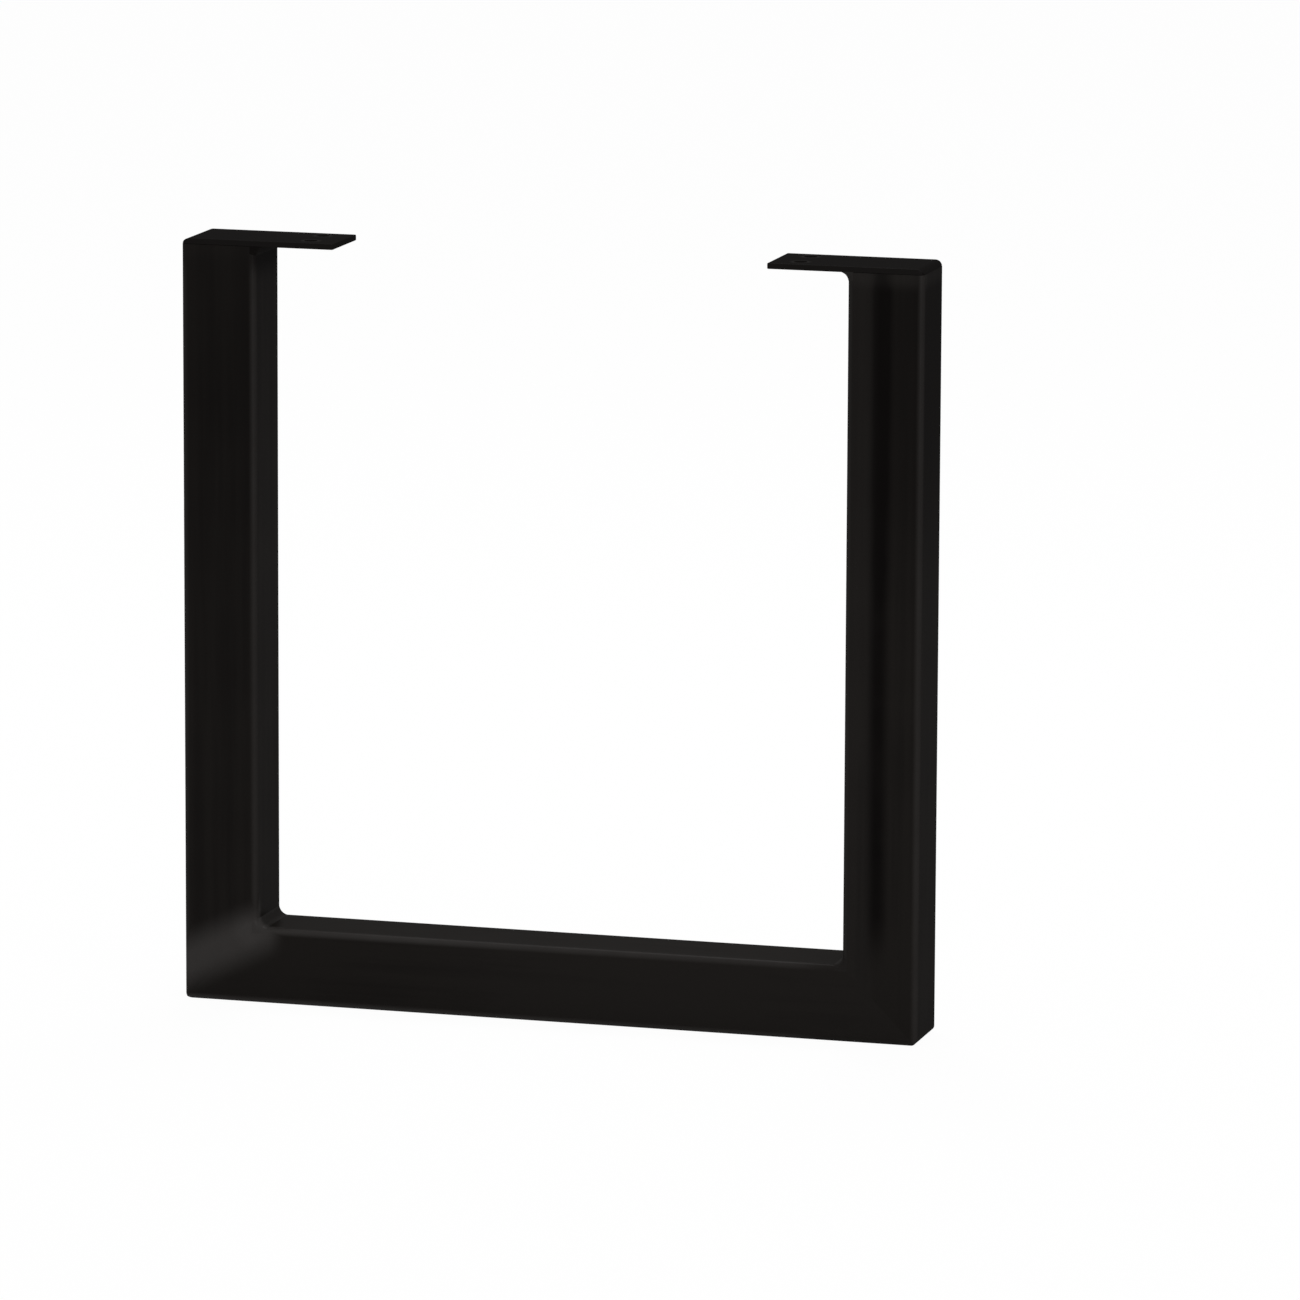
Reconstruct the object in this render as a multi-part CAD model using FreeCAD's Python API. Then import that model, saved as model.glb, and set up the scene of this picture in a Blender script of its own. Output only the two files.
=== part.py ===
import FreeCAD, Part
import math
import os
from FreeCAD import Vector

# U shaped table leg: a floor rail and two uprights of square steel tube, mitred and welded
# at the floor, with a flat screw plate welded on top of each upright and reaching inwards.
# Origin under the middle of the floor rail, +X across the leg, +Z up. Sizes in millimetres.

overall_width = 394.0
overall_height = 400.0

# Square tube of the rail and the uprights
tube_side = 40.0
tube_wall = 2.0
tube_corner_radius = 3.5
ground_corner_radius = 4.5      # all four outer corners of the leg, ground smooth after welding

# Mounting plates, as wide as the tube and flush with it on three sides
plate_length = 82.0
plate_thickness = 3.0
plate_tip_radius = 1.0          # the two corners at the free end, seen from above
plate_edge_radius = 0.5         # every long edge, top and bottom

# Screw holes in the free part of each plate, side by side across the tube
screw_hole_diameter = 7.0
screw_hole_spacing = 20.0
screw_hole_end_distance = 15.0

# Weld beads in the four inner corners
weld_leg = 5.0
weld_hollow = 1.0               # how far the bead's face dips below a straight one

# Places that follow from the sizes above
half_width = overall_width / 2
half_side = tube_side / 2
inner_face_x = -half_width + tube_side      # inner face of the left upright
plate_underside = overall_height - plate_thickness
cutter_margin = tube_side                   # how far a cutting prism runs past the work

across = Vector(1, 0, 0)
depth = Vector(0, 1, 0)
up = Vector(0, 0, 1)


# A closed face from corner points, each rounded by its own radius. The points are in
# order and lie in one plane. A radius of 0 leaves the corner sharp.
def rounded_face(points, radii):
    count = len(points)
    starts = []
    arcs = []
    for index in range(count):
        corner = points[index]
        to_last = (points[index - 1] - corner).normalize()
        to_next = (points[(index + 1) % count] - corner).normalize()
        half_angle = to_last.getAngle(to_next) / 2
        reach = radii[index] / math.tan(half_angle)
        first = corner + to_last * reach
        last = corner + to_next * reach
        middle = corner
        if radii[index] > 0:
            bisector = (to_last + to_next).normalize()
            middle = corner + bisector * (radii[index] / math.sin(half_angle) - radii[index])
        starts.append((first, last))
        arcs.append(middle)
    edges = []
    for index in range(count):
        first, last = starts[index]
        if radii[index] > 0:
            edges.append(Part.Arc(first, arcs[index], last).toShape())
        next_first = starts[(index + 1) % count][0]
        edges.append(Part.LineSegment(last, next_first).toShape())
    return Part.Face(Part.Wire(edges))


# A square seen along an axis, centred on a point, with four equally rounded corners
def rounded_square(centre, first_axis, second_axis, side, radius):
    half = side / 2
    signs = [(-1, -1), (1, -1), (1, 1), (-1, 1)]
    points = [centre + first_axis * (a * half) + second_axis * (b * half) for a, b in signs]
    return rounded_face(points, [radius] * 4)


# Square tube along a path vector, as a filled bar or with its bore
def square_tube(start, first_axis, second_axis, path, hollow):
    outside = rounded_square(start, first_axis, second_axis, tube_side, tube_corner_radius)
    bar = outside.extrude(path)
    if not hollow:
        return bar
    bore_side = tube_side - 2 * tube_wall
    bore_radius = max(tube_corner_radius - tube_wall, tube_wall / 4)
    inside = rounded_square(start, first_axis, second_axis, bore_side, bore_radius)
    return bar.cut(inside.extrude(path))


# A prism through the whole depth of the leg over a polygon given as (x, z) pairs
def depth_prism(outline):
    points = [Vector(x, -cutter_margin, z) for x, z in outline]
    wire = Part.makePolygon(points + points[:1])
    return Part.Face(wire).extrude(depth * (2 * cutter_margin))


# What is ground off a sharp outer corner on the left, which runs through the depth of the leg
# at height z. The steel lies above it where rise is +1 and below it where rise is -1.
def ground_waste(z, rise):
    radius = ground_corner_radius
    lower_z = min(z, z + rise * radius)
    block_start = Vector(-half_width, -cutter_margin, lower_z)
    block = Part.makeBox(radius, 2 * cutter_margin, radius, block_start)
    centre = Vector(-half_width + radius, -cutter_margin, z + rise * radius)
    roller = Part.makeCylinder(radius, 2 * cutter_margin, centre, depth)
    return block.cut(roller)


# Left upright, from the mitre at the floor to the underside of the plate. A ground corner of
# a larger radius than the plate's thickness takes a sliver off its top outer edge as well.
def left_upright(hollow=True):
    start = Vector(-half_width + half_side, 0, 0)
    tube = square_tube(start, across, depth, up * plate_underside, hollow)
    margin = cutter_margin
    below_mitre = depth_prism([
        (-half_width - margin, -margin),
        (inner_face_x + margin, tube_side + margin),
        (inner_face_x + margin, -margin),
    ])
    tube = tube.cut(below_mitre)
    return tube.cut(ground_waste(0, 1)).cut(ground_waste(overall_height, -1))


# Floor rail, mitred at both ends
def floor_rail(hollow=True):
    start = Vector(-half_width, 0, half_side)
    tube = square_tube(start, depth, up, across * overall_width, hollow)
    margin = cutter_margin
    between_mitres = depth_prism([
        (-half_width - margin, -margin),
        (half_width + margin, -margin),
        (half_width - tube_side - margin, tube_side + margin),
        (inner_face_x + margin, tube_side + margin),
    ])
    waste = ground_waste(0, 1)
    return tube.common(between_mitres).cut(waste).cut(mirrored(waste))


# Left plate: its heel covers the top of the upright and its tip reaches inwards
def left_plate():
    heel = -half_width
    tip = heel + plate_length
    outline = rounded_face(
        [
            Vector(heel, -half_side, plate_underside),
            Vector(tip, -half_side, plate_underside),
            Vector(tip, half_side, plate_underside),
            Vector(heel, half_side, plate_underside),
        ],
        [tube_corner_radius, plate_tip_radius, plate_tip_radius, tube_corner_radius],
    )
    plate = outline.extrude(up * plate_thickness)
    rims = [edge for edge in plate.Edges if edge.BoundBox.ZLength < plate_thickness / 2]
    plate = plate.makeFillet(plate_edge_radius, rims)
    for side in (-1, 1):
        place = Vector(
            tip - screw_hole_end_distance,
            side * screw_hole_spacing / 2,
            plate_underside,
        )
        plate = plate.cut(Part.makeCylinder(screw_hole_diameter / 2, plate_thickness, place))
    return plate.cut(ground_waste(overall_height, -1))


# Weld bead in an inner corner. The corner runs through the depth of the leg at (x, z), and
# rise is +1 where the bead climbs from the rail and -1 where it hangs under the plate.
# Its face is a shallow hollow arc between the two toes. The bead goes on round the tube's
# rounded edges and ends flush with the front and back of the leg.
def weld_bead(x, z, rise, neighbours):
    root = tube_corner_radius + weld_leg / 2
    dip = weld_hollow / math.sqrt(2)
    wall_toe = Vector(x, -half_side, z + rise * weld_leg)
    flat_toe = Vector(x + weld_leg, -half_side, z)
    toes_middle = Vector(x + weld_leg / 2, 0, z + rise * weld_leg / 2)
    face_middle = toes_middle - Vector(dip, half_side, rise * dip)
    face_arc = Part.Arc(wall_toe, face_middle, flat_toe).toShape()
    back = [
        flat_toe,
        Vector(x + weld_leg, -half_side, z - rise * root),
        Vector(x - root, -half_side, z - rise * root),
        Vector(x - root, -half_side, z + rise * weld_leg),
        wall_toe,
    ]
    section = Part.Face(Part.Wire([face_arc] + Part.makePolygon(back).Edges))
    bead = section.extrude(depth * tube_side)

    # A bar laid over both toes, with the tube's edge radius along its two outer edges
    reach = 2 * (weld_leg + root)
    toe_to_toe = Vector(1, 0, -rise).normalize()
    inwards = Vector(-1, 0, -rise).normalize()
    start = toes_middle - toe_to_toe * reach
    bar_end = rounded_face(
        [
            start - depth * half_side,
            start + depth * half_side,
            start + depth * half_side + inwards * reach,
            start - depth * half_side + inwards * reach,
        ],
        [tube_corner_radius, tube_corner_radius, 0, 0],
    )
    bead = bead.common(bar_end.extrude(toe_to_toe * (2 * reach)))
    for neighbour in neighbours:
        bead = bead.cut(neighbour)
    return max(bead.Solids, key=lambda solid: solid.Volume)


def mirrored(shape):
    return shape.mirror(Vector(0, 0, 0), across)


def build():
    solid_upright = left_upright(hollow=False)
    solid_rail = floor_rail(hollow=False)
    plate = left_plate()
    upright = left_upright()
    corner_weld = weld_bead(inner_face_x, tube_side, 1, [solid_upright, solid_rail])
    heel_block = Part.makeBox(
        plate_length,
        tube_side,
        cutter_margin,
        Vector(-half_width, -half_side, plate_underside),
    )
    plate_weld = weld_bead(inner_face_x, plate_underside, -1, [solid_upright, heel_block])
    return {
        "floor_rail": floor_rail(),
        "left_upright": upright,
        "right_upright": mirrored(upright),
        "left_mounting_plate": plate,
        "right_mounting_plate": mirrored(plate),
        "left_corner_weld": corner_weld,
        "right_corner_weld": mirrored(corner_weld),
        "left_plate_weld": plate_weld,
        "right_plate_weld": mirrored(plate_weld),
    }


os.makedirs("parts", exist_ok=True)
for name, shape in build().items():
    shape.exportStep("parts/" + name + ".step")
    size = shape.BoundBox
    print(name, len(shape.Solids), "solid", round(shape.Volume, 1), "mm3", shape.isValid(),
          [round(v, 2) for v in (size.XMin, size.XMax, size.YMin, size.YMax, size.ZMin, size.ZMax)])
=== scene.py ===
import math
import bpy
import numpy as np
from mathutils import Matrix, Vector


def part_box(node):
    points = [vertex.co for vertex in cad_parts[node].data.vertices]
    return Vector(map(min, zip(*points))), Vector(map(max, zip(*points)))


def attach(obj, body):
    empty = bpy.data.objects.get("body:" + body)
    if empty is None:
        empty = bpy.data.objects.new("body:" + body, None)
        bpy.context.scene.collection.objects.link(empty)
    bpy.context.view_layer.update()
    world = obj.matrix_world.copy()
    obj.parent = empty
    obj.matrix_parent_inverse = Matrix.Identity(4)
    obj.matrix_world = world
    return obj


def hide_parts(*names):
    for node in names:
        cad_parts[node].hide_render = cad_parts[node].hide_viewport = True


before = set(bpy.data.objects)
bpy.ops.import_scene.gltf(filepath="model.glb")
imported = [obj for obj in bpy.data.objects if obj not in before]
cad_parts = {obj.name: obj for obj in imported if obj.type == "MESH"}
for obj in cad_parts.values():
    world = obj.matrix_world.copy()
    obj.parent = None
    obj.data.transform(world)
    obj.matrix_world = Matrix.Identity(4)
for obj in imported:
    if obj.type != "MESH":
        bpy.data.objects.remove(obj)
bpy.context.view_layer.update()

# U shaped table leg in satin black powder coat, on a plain white floor under soft studio light.
# Everything is in metres, with the floor rail on the floor and the plates at the top.

uprightLow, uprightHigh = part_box("left_upright")
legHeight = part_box("left_mounting_plate")[1][2]
plateUnderside = uprightHigh[2]
halfWidth = -uprightLow[0]
halfOpening = -uprightHigh[0]       # from the leg's middle to the inner face of an upright
tubeSide = halfWidth - halfOpening
halfDepth = tubeSide / 2
tubeAxis = halfWidth - halfDepth    # from the leg's middle to the middle of an upright
print("frame loaded, leg", round(2 * halfWidth, 3), "wide and", round(legHeight, 3), "high")


# Camera

camera = {
    "azimuth": 15.882,              # degrees to the right of straight on
    "elevation": 10.277,
    "roll": 0.261,
    "distance": 4.611,
    "focalPixels": 8970.3,          # for a square picture 1300 pixels wide
    "pictureWidth": 1300,
    "sensorWidth": 36.0,
    "sideways": 0.04710,            # the eye's offset from the line through the leg's middle
    "upwards": -0.00793,
    "clipEnd": 50.0,
}


def placeCamera(settings):
    turn, lift = math.radians(settings["azimuth"]), math.radians(settings["elevation"])
    towardsEye = Vector((
        math.sin(turn) * math.cos(lift),
        -math.cos(turn) * math.cos(lift),
        math.sin(lift),
    ))
    level = Vector((math.cos(turn), math.sin(turn), 0))
    above = towardsEye.cross(level)
    roll = math.radians(settings["roll"])
    right = level * math.cos(roll) + above * math.sin(roll)
    up = above * math.cos(roll) - level * math.sin(roll)
    middle = Vector((0, 0, legHeight / 2))
    eye = middle + towardsEye * settings["distance"]
    eye += right * settings["sideways"] + up * settings["upwards"]
    data = bpy.data.cameras.new("camera")
    data.sensor_width = settings["sensorWidth"]
    data.lens = settings["focalPixels"] / settings["pictureWidth"] * settings["sensorWidth"]
    data.clip_end = settings["clipEnd"]
    holder = bpy.data.objects.new("camera", data)
    axes = Matrix((right, up, towardsEye)).transposed()
    holder.matrix_world = Matrix.Translation(eye) @ axes.to_4x4()
    bpy.context.scene.collection.objects.link(holder)
    bpy.context.scene.camera = holder


placeCamera(camera)
print("camera placed")


# Shader maths

class Value:
    # A socket that can be used in a Python expression: each operator adds one Math node.

    def __init__(self, recipe, socket):
        self.recipe = recipe
        self.socket = socket

    def maths(self, operation, first, second=0.0):
        made = self.recipe.node("ShaderNodeMath", {"operation": operation}, {0: first, 1: second})
        return made("Value")

    def __add__(self, other):
        return self.maths("ADD", self, other)

    __radd__ = __add__

    def __sub__(self, other):
        return self.maths("SUBTRACT", self, other)

    def __rsub__(self, other):
        return self.maths("SUBTRACT", other, self)

    def __mul__(self, other):
        return self.maths("MULTIPLY", self, other)

    __rmul__ = __mul__

    def __pow__(self, other):
        return self.maths("POWER", self, other)

    def __abs__(self):
        return self.maths("ABSOLUTE", self)

    def orLess(self, other):
        return self.maths("MINIMUM", self, other)

    def orMore(self, other):
        return self.maths("MAXIMUM", self, other)


class Recipe:
    # The nodes of one material or of the world. node() is the one way to make them: it takes
    # the kind, its settings, and the values or links of its sockets.

    def __init__(self, owner):
        owner.use_nodes = True
        self.tree = owner.node_tree
        self.tree.nodes.clear()

    def node(self, kind, settings=None, sockets=None):
        made = self.tree.nodes.new(kind)
        for key, setting in (settings or {}).items():
            setattr(made, key, setting)
        for key, value in (sockets or {}).items():
            if isinstance(value, Value):
                self.tree.links.new(value.socket, made.inputs[key])
            else:
                made.inputs[key].default_value = value
        return lambda output: Value(self, made.outputs[output])

    def place(self):
        # Keeps the point on the leg for the noises, and gives its x, y and z in metres
        self.point = self.node("ShaderNodeTexCoord")("Object")
        parts = self.node("ShaderNodeSeparateXYZ", {}, {0: self.point})
        return parts("X"), parts("Y"), parts("Z")

    def stretch(self, point, scale):
        return self.node(
            "ShaderNodeVectorMath", {"operation": "MULTIPLY"}, {0: point, 1: scale}
        )("Vector")

    def noise(self, point, scale, detail=2.0, roughness=0.5):
        return self.node(
            "ShaderNodeTexNoise",
            {},
            {"Vector": point, "Scale": scale, "Detail": detail, "Roughness": roughness},
        )("Fac")

    def rise(self, value, low, high):
        # 0 up to low, 1 from high on, and a smooth step between them
        return self.node(
            "ShaderNodeMapRange",
            {"interpolation_type": "SMOOTHSTEP"},
            {"Value": value, "From Min": low, "From Max": high},
        )("Result")

    def blend(self, share, first, second):
        return self.node(
            "ShaderNodeMix", {"data_type": "RGBA"}, {0: share, 6: first, 7: second}
        )(2)


# Satin black powder coat, shared by all pieces

coat = {
    "dark": (0.0064, 0.0055, 0.0051, 1),
    "pale": (0.0104, 0.0091, 0.0082, 1),
    "rubAndHighlight": (0.0350, 0.0322, 0.0308, 1),      # worn or thin film, and painted highlight and sheen
    "paintedShadeTone": (0.0026, 0.0021, 0.0020, 1),       # painted shade and painted dark reflection: darker where less light falls
    "roughness": 0.60,
    "roughnessSpread": 0.10,
    "gloss": 0.040,                 # how much the cured film mirrors
    "rubAndHighlightGloss": 0.120,
    "paintedShadeMatt": 0.45,             # share of the gloss lost under the painted shade
    "glossRoughness": 0.34,
    "peelSize": 1 / 900,            # orange peel, metres from bump to bump
    "peelDepth": 0.00003,
    "grainSize": 1 / 4200,          # the finest grain of the cured powder
    "grainDepth": 0.000012,
    "cloudSize": 1 / 16,            # slow changes in film thickness
    "cloudRange": (0.33, 0.68),     # noise values between which the film goes from thick to thin
    "cloudTone": 0.40,              # how far that leads from the dark tone to the pale one
    "lineWidth": 1 / 190,           # faint drawing lines along the steel
    "lineLength": 1 / 5,
    "lineRange": (0.32, 0.70),
    "lineTone": 0.50,
    "groundSmooth": 0.70,           # share of the relief lost where the steel was ground
    "groundPolish": 0.12,           # and how much less rough it is there
}
alongX, alongY, alongZ = 0, 1, 2    # the axis that the drawn steel follows


def coatMaterial(name, along, markings, paintedLightLift=0.0):
    # markings(recipe, x, y, z) gives three masks or plain numbers: worn film with painted highlight,
    # painted shade, and smoothly ground steel. The last argument lifts the whole piece from the dark
    # tone to the pale one, as painted light.
    material = bpy.data.materials.new(name)
    recipe = Recipe(material)
    x, y, z = recipe.place()
    scale = [1 / coat["lineWidth"]] * 3
    scale[along] = 1 / coat["lineLength"]
    drawn = recipe.noise(recipe.stretch(recipe.point, scale), 1.0, detail=3.0, roughness=0.55)
    lines = recipe.rise(drawn, *coat["lineRange"])
    cloud = recipe.rise(recipe.noise(recipe.point, 1 / coat["cloudSize"]), *coat["cloudRange"])
    peel = recipe.noise(recipe.point, 1 / coat["peelSize"])
    grain = recipe.noise(recipe.point, 1 / coat["grainSize"], detail=1.0)
    rubAndHighlight, paintedShade, ground = markings(recipe, x, y, z)
    # Painted light lifts the tone of a whole piece here
    tone = (paintedLightLift + coat["lineTone"] * lines + coat["cloudTone"] * cloud).orLess(1.0)
    color = recipe.blend(tone, coat["dark"], coat["pale"])
    # Painted shade darkens the tone here
    color = recipe.blend(paintedShade, color, coat["paintedShadeTone"])
    # Worn film and painted highlight lighten the tone here
    color = recipe.blend(rubAndHighlight, color, coat["rubAndHighlight"])
    height = peel * coat["peelDepth"] + grain * coat["grainDepth"]
    height = height * (1 - coat["groundSmooth"] * ground)
    bump = recipe.node("ShaderNodeBump", {}, {"Height": height, "Distance": 1.0, "Strength": 1.0})
    roughness = coat["roughness"] + coat["roughnessSpread"] * (cloud - 0.5)
    gloss = coat["gloss"] * (1 - coat["paintedShadeMatt"] * paintedShade)
    skin = recipe.node(
        "ShaderNodeBsdfPrincipled",
        {},
        {
            "Base Color": color,
            "Roughness": roughness - coat["groundPolish"] * ground,
            "Specular IOR Level": 0.0,
            "Normal": bump("Normal"),
            "Coat Weight": gloss + (coat["rubAndHighlightGloss"] - coat["gloss"]) * rubAndHighlight,
            "Coat Roughness": coat["glossRoughness"],
        },
    )
    recipe.node("ShaderNodeOutputMaterial", {}, {"Surface": skin("BSDF")})
    return material


# Markings that the rail and the uprights share: worn film with painted highlight on the tubes'
# rounded edges, painted sheen over the left corner, and the mitres ground flush

tube = {
    "edgeReach": (0.0160, 0.0188),  # from the tube's middle to where the edge wear and painted highlight begin, and are full
    "edgePatches": (0.7, 0.6),      # least share of it, and what the noise adds
    "patchSize": 1 / 34,
    "frontFade": (0.008, 0.002),    # from the front inwards: where front markings end, and are full
    "mitreBand": 0.0030,            # half the width of the ground band
    "mitreFade": 0.0012,
    "bandSheen": 0.84,               # painted sheen in a slanting band over the left corner
    "frontPatches": (0.85, 0.30),
    "sheenHeight": 0.0384,          # where the band's middle crosses the upright's inner face
    "sheenSlope": 0.49,
    "sheenHalf": (0.0025, 0.0205),
    "sheenEnd": (-0.152, -0.141),
    "spotSheen": 0.20,                # more painted sheen round the front end of the corner's weld
    "spotPlace": (-0.162, 0.038),
    "spotReach": (0.001, 0.011),
}


def patchNoise(recipe):
    return recipe.noise(recipe.point, 1 / tube["patchSize"], detail=3.0, roughness=0.6)


def patchy(patches, noise):
    # A share that varies from patch to patch: the least, and more times the noise
    least, more = patches
    return least + more * noise


def roundedEdge(recipe, fromAxis, y):
    # The lesser of the two distances from the tube's middle is large only on the rounded edges
    return recipe.rise(fromAxis.orLess(abs(y)), *tube["edgeReach"])


def frontFace(recipe, y):
    # A smooth step forwards, full on the flat front and gone behind its rounded edges
    begins, full = tube["frontFade"]
    return recipe.rise(0 - y, halfDepth - begins, halfDepth - full)


def cornerSheen(recipe, x, z):
    # Painted sheen over the left corner. Band: one less a smooth step of the height over or under a
    # slanting line, and faded out
    # to the right. Spot: one less a smooth step of the distance from its place.
    middle = tube["sheenHeight"] + tube["sheenSlope"] * (x + halfOpening)
    band = 1 - recipe.rise(abs(z - middle), *tube["sheenHalf"])
    band = band * (1 - recipe.rise(x, *tube["sheenEnd"]))
    spotX, spotZ = tube["spotPlace"]
    fromSpot = ((x - spotX) ** 2 + (z - spotZ) ** 2) ** 0.5
    spot = 1 - recipe.rise(fromSpot, *tube["spotReach"])
    return band * tube["bandSheen"] + spot * tube["spotSheen"]


def groundMitre(recipe, x, z):
    # One less a smooth step of the distance from the slanting plane of the mitre
    fromMitre = abs((z - (halfWidth - abs(x))) * math.sqrt(0.5))
    band, fade = tube["mitreBand"], tube["mitreFade"]
    return 1 - recipe.rise(fromMitre, band - fade, band + fade)


# Rail: painted light lifts it all and brightens its front towards the right, and its edges carry
# more worn film and painted highlight on the left than on the right

rail = {
    "edgeRubAndHighlight": (0.74, 0.46),        # edge wear and painted highlight at its left and right end
    "edgeEnd": (0.126, 0.151),      # places between which that fades at the right corner
    "edgeEndLoss": 0.70,
    # painted light on the front grows between these places
    "rightLightPlace": (-0.10, 0.00),
    "rightLight": 0.045,
    # painted light lifting the whole rail
    "paintedLightLift": 0.58,
}


def railMarkings(recipe, x, y, z):
    noise = patchNoise(recipe)
    leftEdge, rightEdge = rail["edgeRubAndHighlight"]
    edgeRubAndHighlight = leftEdge + (rightEdge - leftEdge) * recipe.rise(x, -halfOpening, halfOpening)
    edgeRubAndHighlight = edgeRubAndHighlight * (1 - rail["edgeEndLoss"] * recipe.rise(x, *rail["edgeEnd"]))
    # edge wear and painted highlight on the rounded edges, more on the left
    edge = roundedEdge(recipe, abs(z - tubeSide / 2), y) * edgeRubAndHighlight
    # painted light on the front, brighter towards the right
    rightLight = recipe.rise(x, *rail["rightLightPlace"]) * rail["rightLight"]
    front = frontFace(recipe, y) * patchy(tube["frontPatches"], noise)
    # painted sheen and painted light on the front
    frontLift = (cornerSheen(recipe, x, z) + rightLight) * front
    rubAndHighlight = (edge * patchy(tube["edgePatches"], noise)).orMore(frontLift).orLess(1.0)
    return rubAndHighlight, 0.0, groundMitre(recipe, x, z)


# Uprights: painted shade darkens them towards the top, on the outer sides and under the plates. The
# right one has a painted dark reflection in a lengthwise streak on its front, painted sheen beside
# it, a lighter band at its top, and painted light over it all.

upright = {
    # edge wear and painted highlight on an upright's rounded edges
    "edgeRubAndHighlight": 0.34,
    "edgeTop": (0.380, 0.391),      # heights between which that fades on the left one
    "edgeTopLoss": 0.65,
    "topShade": (0.200, 0.330),     # heights between which painted shade grows on both
    "topEnd": (0.3870, 0.3955),     # and fades again
    "topEndLoss": 0.90,
    "topDepth": (0.24, 0.44),       # how deep that painted shade is, left and right
    "outerShade": 0.38,             # painted shade on the outer side
    "sideStep": 0.003,              # how far the markings of a side reach round its edges
    "underPlate": (0.376, 0.392),   # heights between which painted shadow of the plate darkens the inner side
    "underShade": 0.70,
    # cap on the painted shade of an upright
    "mostPaintedShade": 0.85,
    "streakPlace": 0.1748,            # of the painted dark reflection, across the leg
    "streakHalf": (0.0010, 0.0080),
    "streakFoot": (0.036, 0.070),     # heights between which it sets in
    "seamDepth": 0.80,
    "streakPatches": (0.55, 0.80),
    "insideStep": 0.006,            # how far from the streak its inner side is full
    "insideTop": 0.40,              # share of the painted shade at the top there
    "insideShine": 0.08,            # and painted sheen
    "topBand": (0.3870, 0.3950),  # heights between which the right one's top is lighter
    "topBandLift": 0.10,
    # painted light lifting the whole right upright
    "rightPaintedLight": 0.34,
}


def uprightShade(recipe, x, z, topDepth):
    # Painted shade. Smooth steps: up the height for the top, outwards for the outer side, and both
    # upwards and inwards under the plate
    top = topDepth * recipe.rise(z, *upright["topShade"])
    top = top * (1 - upright["topEndLoss"] * recipe.rise(z, *upright["topEnd"]))
    step = upright["sideStep"]
    outer = recipe.rise(abs(x), halfWidth - step, halfWidth) * upright["outerShade"]
    inner = 1 - recipe.rise(abs(x), halfOpening, halfOpening + step)
    under = inner * recipe.rise(z, *upright["underPlate"]) * upright["underShade"]
    return top + outer + under


def leftUprightMarkings(recipe, x, y, z):
    noise = patchNoise(recipe)
    # edge wear and painted highlight on the rounded edges
    edge = roundedEdge(recipe, abs(abs(x) - tubeAxis), y) * upright["edgeRubAndHighlight"]
    edge = edge * (1 - upright["edgeTopLoss"] * recipe.rise(z, *upright["edgeTop"]))
    front = frontFace(recipe, y) * patchy(tube["frontPatches"], noise)
    # painted sheen over the left corner
    frontLift = cornerSheen(recipe, x, z) * front
    rubAndHighlight = (edge * patchy(tube["edgePatches"], noise)).orMore(frontLift).orLess(1.0)
    # painted shade towards the top, on the outer side and under the plate
    paintedShade = uprightShade(recipe, x, z, upright["topDepth"][0]).orLess(upright["mostPaintedShade"])
    return rubAndHighlight, paintedShade, groundMitre(recipe, x, z)


def rightUprightMarkings(recipe, x, y, z):
    # Painted dark reflection, a lengthwise streak: one less a smooth step of the distance from its
    # place across the leg
    noise = patchNoise(recipe)
    front = frontFace(recipe, y)
    place = upright["streakPlace"]
    inside = 1 - recipe.rise(x, place - upright["insideStep"], place)
    # edge wear and painted highlight on the rounded edges
    edge = roundedEdge(recipe, abs(abs(x) - tubeAxis), y) * upright["edgeRubAndHighlight"]
    # a lighter, glossier band just under the right plate
    weld = recipe.rise(z, *upright["topBand"]) * upright["topBandLift"]
    # painted sheen left of the streak, and the lighter top band
    frontLift = (weld + inside * upright["insideShine"]) * front
    frontLift = frontLift * patchy(tube["frontPatches"], noise)
    rubAndHighlight = (edge * patchy(tube["edgePatches"], noise)).orMore(frontLift).orLess(1.0)
    # painted dark reflection down the front
    seam = (1 - recipe.rise(abs(x - place), *upright["streakHalf"])) * upright["seamDepth"]
    seam = seam * recipe.rise(z, *upright["streakFoot"])
    seam = seam * front * patchy(upright["streakPatches"], noise)
    topDepth = upright["topDepth"][1] * (1 - (1 - upright["insideTop"]) * inside)
    # painted dark reflection and painted shade together
    paintedShade = (seam + uprightShade(recipe, x, z, topDepth)).orLess(upright["mostPaintedShade"])
    return rubAndHighlight, paintedShade, groundMitre(recipe, x, z)


# Markings of the plates: cut from flat bar, with painted shade all over, wear at the screw holes,
# and wear with painted highlight at the rims

plate = {
    "rimReach": (0.0186, 0.0199),   # from the plate's middle
    # wear and painted highlight at the long edges
    "rimRubAndHighlight": 0.12,
    "holePlace": (0.130, 0.010),    # from the leg's middle, and from the plate's
    "holeReach": (0.0037, 0.0062),
    "holeRub": 0.18,
    "shade": 0.78,                  # painted shade: how much darker the whole plate is
}


def plateMarkings(recipe, x, y, z):
    # The wear and painted highlight fade inwards from the long edges, and the wear outwards from
    # each hole's rim
    rim = recipe.rise(abs(y), *plate["rimReach"]) * plate["rimRubAndHighlight"]
    holeX, holeY = plate["holePlace"]
    fromHole = ((abs(x) - holeX) ** 2 + (abs(y) - holeY) ** 2) ** 0.5
    hole = (1 - recipe.rise(fromHole, *plate["holeReach"])) * plate["holeRub"]
    # painted shade over the whole plate
    return rim.orMore(hole), plate["shade"], 0.0


# Welds: shape and markings of the beads in the four inner corners

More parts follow.
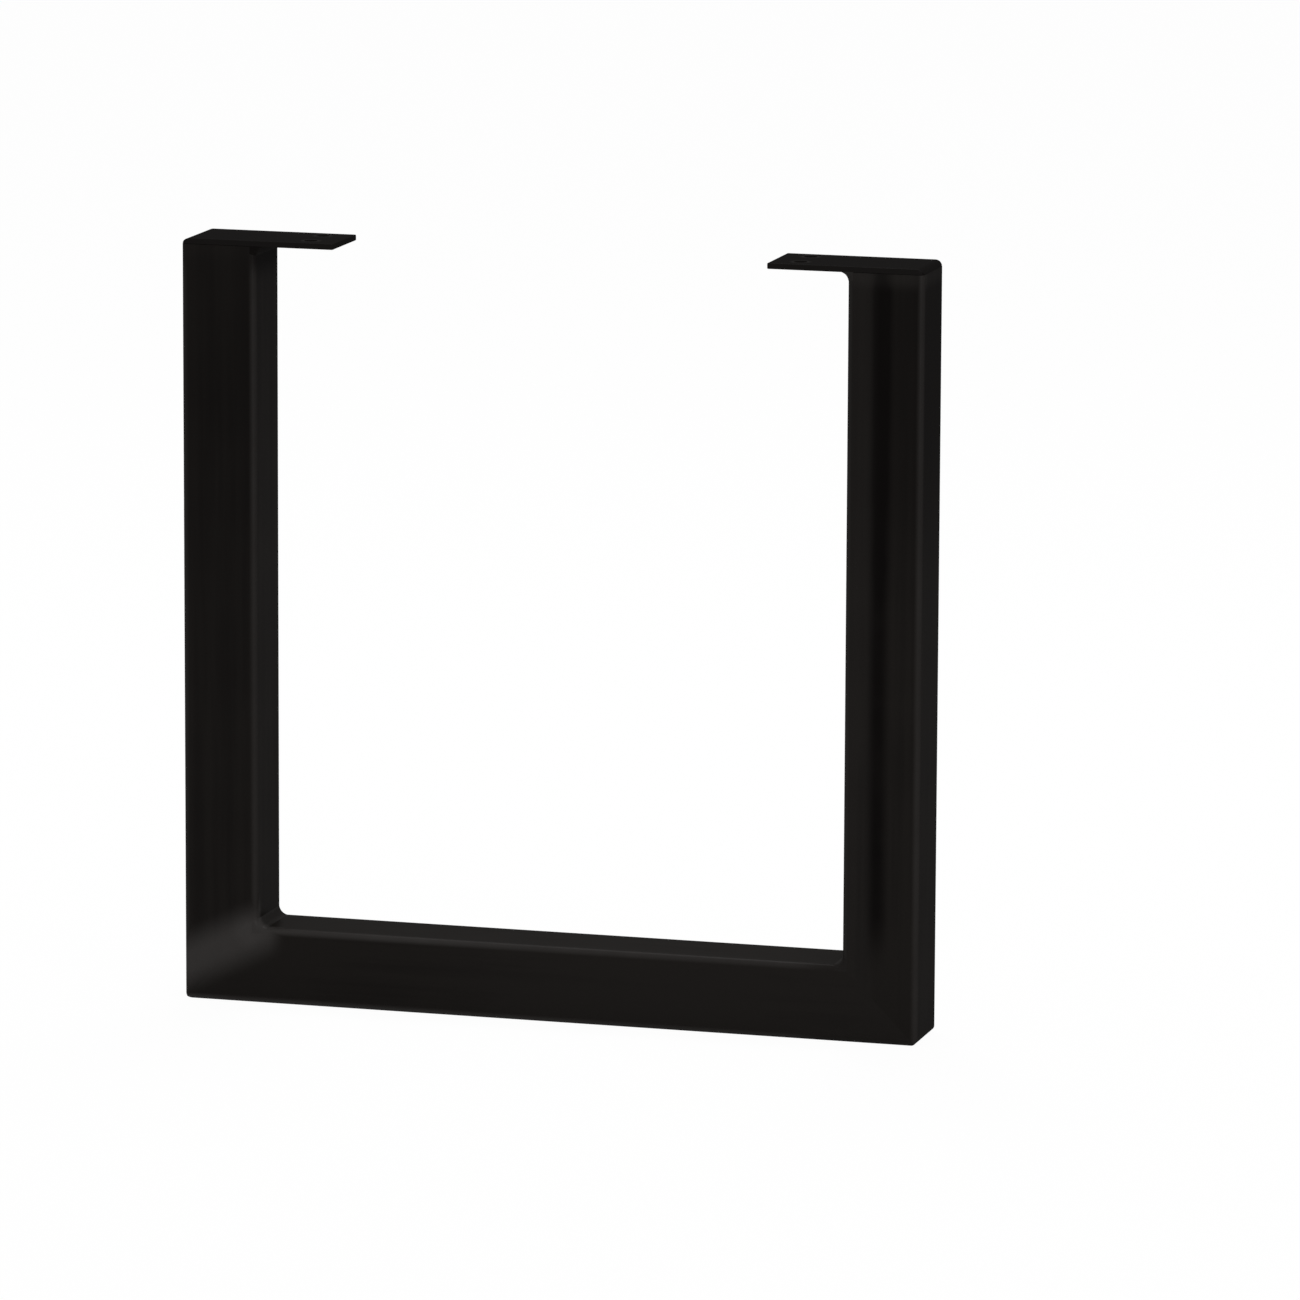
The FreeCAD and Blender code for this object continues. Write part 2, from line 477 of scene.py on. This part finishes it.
bead = {
    "cornerLeg": 0.0046,            # along each tube in the two corners over the rail
    "plateLeg": 0.0050,
    "hollow": 0.00128,              # how far the face dips below a straight one
    "edgeRadius": 0.0035,           # of the tubes, which the bead's ends wrap round
    "sunk": 0.0003,                 # how deep its back lies in the steel
    "ripplePitch": 0.0017,
    "rippleHeight": 0.00016,
    "rippleBow": 0.55,              # how far the ripples' middle runs ahead, in pitches
    "rippleSkew": 0.6,              # how much steeper a ripple's one side is
    "facePoints": 37,
    "depthPoints": 241,
    "endTurn": 80.0,                # degrees round the tube's edge at which the bead ends
    "endPoints": 14,
    "rub": 0.18,
    "rubPatches": (0.7, 0.6),       # least share of it, and what the noise adds
    "patchSize": 1 / 120,
    "endHighlight": 0.84,                 # painted highlight at the front end of the bead in the left corner
    "endReach": (0.008, 0.019),     # forwards from the leg's middle
    "plateShade": 0.65,             # painted shade on the bead under the left plate
    "plateHighlight": 0.15,               # even painted highlight on the one under the right plate
    "sideStep": (0.0, 0.01),        # to the left, where the left beads' markings set in
    "highStep": (0.20, 0.22),       # upwards, where the plate beads' markings set in
}


def beadSurface(cornerX, cornerZ, out, rise, leg):
    # Rings run along the leg's depth. Each ring is the bead's section: a shallow hollow curve
    # from the toe on the upright to the toe on the flat steel, closed by a back just inside
    # the steel. Past the start of the tubes' rounded edges both toes draw back with the edge,
    # by r - sqrt(r^2 - d^2) at a distance d round it. The face carries crescent ripples:
    # a skewed sine of depth over pitch, that runs ahead in the middle and fades at the toes
    # and round the ends.
    radius = bead["edgeRadius"]
    turn = np.radians(np.linspace(0, bead["endTurn"], bead["endPoints"]))[1:]
    flat = np.linspace(radius - halfDepth, halfDepth - radius, bead["depthPoints"])
    end = halfDepth - radius + radius * np.sin(turn)
    depth = np.concatenate([-end[::-1], flat, end])
    drawn = radius * (1 - np.cos(turn))
    drawn = np.concatenate([drawn[::-1], np.zeros(len(flat)), drawn])[:, None]

    across = np.linspace(0, 1, bead["facePoints"])[None, :]
    sunk = bead["sunk"]
    wallToe = (-drawn, leg - drawn * (math.sqrt(2) - 1))
    if rise > 0:
        flatToe = (leg - drawn * (math.sqrt(2) - 1), -drawn)
    else:
        flatToe = (leg - drawn * math.sqrt(2), 0 * drawn)
    middle = 1 - (2 * across - 1) ** 2
    fade = np.clip(1 - drawn / bead["hollow"], 0, 1)
    phase = depth[:, None] / bead["ripplePitch"] - bead["rippleBow"] * (2 * across - 1) ** 2
    wave = np.sin(2 * math.pi * phase - bead["rippleSkew"] * np.sin(2 * math.pi * phase))
    lift = middle * (bead["rippleHeight"] * fade * wave - bead["hollow"]) / math.sqrt(2)
    faceOut = wallToe[0] + (flatToe[0] - wallToe[0]) * across + lift
    faceUp = wallToe[1] + (flatToe[1] - wallToe[1]) * across + lift
    backOut = np.concatenate([flatToe[0], wallToe[0] - sunk, wallToe[0] - sunk], axis=1)
    backUp = np.concatenate([flatToe[1] - sunk, flatToe[1] - sunk, wallToe[1]], axis=1)
    awayFromWall = np.concatenate([faceOut, backOut], axis=1)
    awayFromFlat = np.concatenate([faceUp, backUp], axis=1)
    x = cornerX + out * awayFromWall
    y = np.broadcast_to(depth[:, None], x.shape)
    z = cornerZ + rise * awayFromFlat
    return np.stack([x, y, z], axis=-1)


def closedTube(name, rings, hub, flip):
    # A mesh of quads between neighbouring rings. Each end is closed by triangles that spread
    # from the ring's point numbered hub, which sees all of the section.
    count, size = rings.shape[:2]
    ring, spot = np.meshgrid(np.arange(count - 1), np.arange(size), indexing="ij")
    ahead = (spot + 1) % size
    quads = np.stack([
        ring * size + spot,
        ring * size + ahead,
        (ring + 1) * size + ahead,
        (ring + 1) * size + spot,
    ], axis=-1).reshape(-1, 4)
    spots = (hub + 1 + np.arange(size - 2)) % size
    turned = (spots + 1) % size
    last = (count - 1) * size
    startFan = np.stack([np.full(size - 2, hub), turned, spots], axis=-1)
    endFan = np.stack([np.full(size - 2, hub), spots, turned], axis=-1) + last
    if flip:
        quads, startFan, endFan = quads[:, ::-1], startFan[:, ::-1], endFan[:, ::-1]
    mesh = bpy.data.meshes.new(name)
    faces = quads.tolist() + startFan.tolist() + endFan.tolist()
    mesh.from_pydata(rings.reshape(-1, 3).tolist(), [], faces)
    mesh.polygons.foreach_set("use_smooth", np.arange(len(mesh.polygons)) < len(quads))
    mesh.update()
    made = bpy.data.objects.new(name, mesh)
    bpy.context.scene.collection.objects.link(made)
    return made


def weldMarkings(recipe, x, y, z):
    # All are a little worn, apart from the bead under the left plate, which gets painted shade.
    # Painted highlight lies evenly on the bead under the right plate, and most on the front end of
    # the left corner's bead.
    noise = recipe.noise(recipe.point, 1 / bead["patchSize"])
    front = recipe.rise(0 - y, *bead["endReach"])
    left = recipe.rise(0 - x, *bead["sideStep"])
    high = recipe.rise(z, *bead["highStep"])
    rubAndHighlight = bead["rub"] * patchy(bead["rubPatches"], noise) * (1 - high * left)
    # even painted highlight on the right plate's bead
    rubAndHighlight = rubAndHighlight + bead["plateHighlight"] * high * (1 - left)
    # painted highlight on the front end of the left corner's bead
    rubAndHighlight = rubAndHighlight.orMore(bead["endHighlight"] * front * left * (1 - high))
    # painted shade on the left plate's bead
    return rubAndHighlight, high * left * bead["plateShade"], 0.0


leftCoat = coatMaterial("leftUprightCoat", alongZ, leftUprightMarkings)
rightCoat = coatMaterial("rightUprightCoat", alongZ, rightUprightMarkings, upright["rightPaintedLight"])
railCoat = coatMaterial("railCoat", alongX, railMarkings, rail["paintedLightLift"])
plateCoat = coatMaterial("plateCoat", alongX, plateMarkings)
weldCoat = coatMaterial("weldCoat", alongY, weldMarkings)
finishes = {
    "floor_rail": railCoat,
    "left_upright": leftCoat,
    "right_upright": rightCoat,
    "left_mounting_plate": plateCoat,
    "right_mounting_plate": plateCoat,
    "left_corner_weld": weldCoat,
    "right_corner_weld": weldCoat,
    "left_plate_weld": weldCoat,
    "right_plate_weld": weldCoat,
}
for name, finish in finishes.items():
    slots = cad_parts[name].data.materials
    for index in range(len(slots)):
        slots[index] = finish
print("powder coat on", len(finishes), "steel pieces")

for side, out in (("left", 1), ("right", -1)):
    for where, height, rise in (("corner", tubeSide, 1), ("plate", plateUnderside, -1)):
        rings = beadSurface(-out * halfOpening, height, out, rise, bead[where + "Leg"])
        root = rings.shape[1] - 2       # the point deepest in the corner
        weld = closedTube(side + "_" + where + "_bead", rings, root, out * rise < 0)
        weld.data.materials.append(weldCoat)
        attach(weld, "root")
        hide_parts(side + "_" + where + "_weld")
print("four weld beads laid")


# Floor, surroundings and lamps

studio = {
    "floorHalf": 6.0,
    "floorColor": (0.92, 0.92, 0.92, 1),
    "floorOwnWhite": 0.965,         # share of plain white that the eye sees on the floor
    "worldWhite": 1.0,
    "worldFill": 0.64,              # how strongly the surroundings light the leg
    "topWatts": 22.0,
    "topSize": (0.9, 0.9),
    "topPlace": (-0.2, 1.0, 2.2),
    "sideWatts": 12.0,
    "sideSize": (0.35, 1.4),
    "sidePlace": (1.9, -1.5, 0.72),
}


def seenDirectly(recipe):
    # 1 for rays from the eye, in mirrors and through glass; 0 for light that fills the scene
    path = recipe.node("ShaderNodeLightPath")
    seen = path("Is Camera Ray") + path("Is Glossy Ray") + path("Is Transmission Ray")
    return seen.orLess(1.0)


def layFloor():
    half = studio["floorHalf"]
    corners = np.array([[-half, -half, 0], [half, -half, 0], [half, half, 0], [-half, half, 0]])
    mesh = bpy.data.meshes.new("floor")
    mesh.from_pydata(corners.tolist(), [], [[0, 1, 2, 3]])
    floor = bpy.data.objects.new("floor", mesh)
    bpy.context.scene.collection.objects.link(floor)
    paint = bpy.data.materials.new("floorPaint")
    recipe = Recipe(paint)
    matt = recipe.node("ShaderNodeBsdfDiffuse", {}, {"Color": studio["floorColor"]})
    glow = recipe.node(
        "ShaderNodeEmission", {}, {"Color": (1, 1, 1, 1), "Strength": studio["worldWhite"]}
    )
    share = seenDirectly(recipe) * studio["floorOwnWhite"]
    mixed = recipe.node("ShaderNodeMixShader", {}, {0: share, 1: matt("BSDF"), 2: glow("Emission")})
    recipe.node("ShaderNodeOutputMaterial", {}, {"Surface": mixed("Shader")})
    mesh.materials.append(paint)


def lightWorld():
    world = bpy.data.worlds.new("studio")
    bpy.context.scene.world = world
    recipe = Recipe(world)
    fill, white = studio["worldFill"], studio["worldWhite"]
    strength = fill + (white - fill) * seenDirectly(recipe)
    sky = recipe.node("ShaderNodeBackground", {}, {"Color": (1, 1, 1, 1), "Strength": strength})
    recipe.node("ShaderNodeOutputWorld", {}, {"Surface": sky("Background")})


def hangLamp(name, place, size, watts):
    data = bpy.data.lights.new(name, "AREA")
    data.energy = watts
    data.shape = "RECTANGLE"
    data.size, data.size_y = size
    lamp = bpy.data.objects.new(name, data)
    aim = (Vector((0, 0, legHeight / 2)) - Vector(place)).to_track_quat("-Z", "Y")
    lamp.matrix_world = Matrix.Translation(Vector(place)) @ aim.to_matrix().to_4x4()
    bpy.context.scene.collection.objects.link(lamp)


layFloor()
lightWorld()
hangLamp("topLamp", studio["topPlace"], studio["topSize"], studio["topWatts"])
hangLamp("sideLamp", studio["sidePlace"], studio["sideSize"], studio["sideWatts"])
bpy.context.scene.view_settings.view_transform = "Standard"
print("floor, world and lamps set")
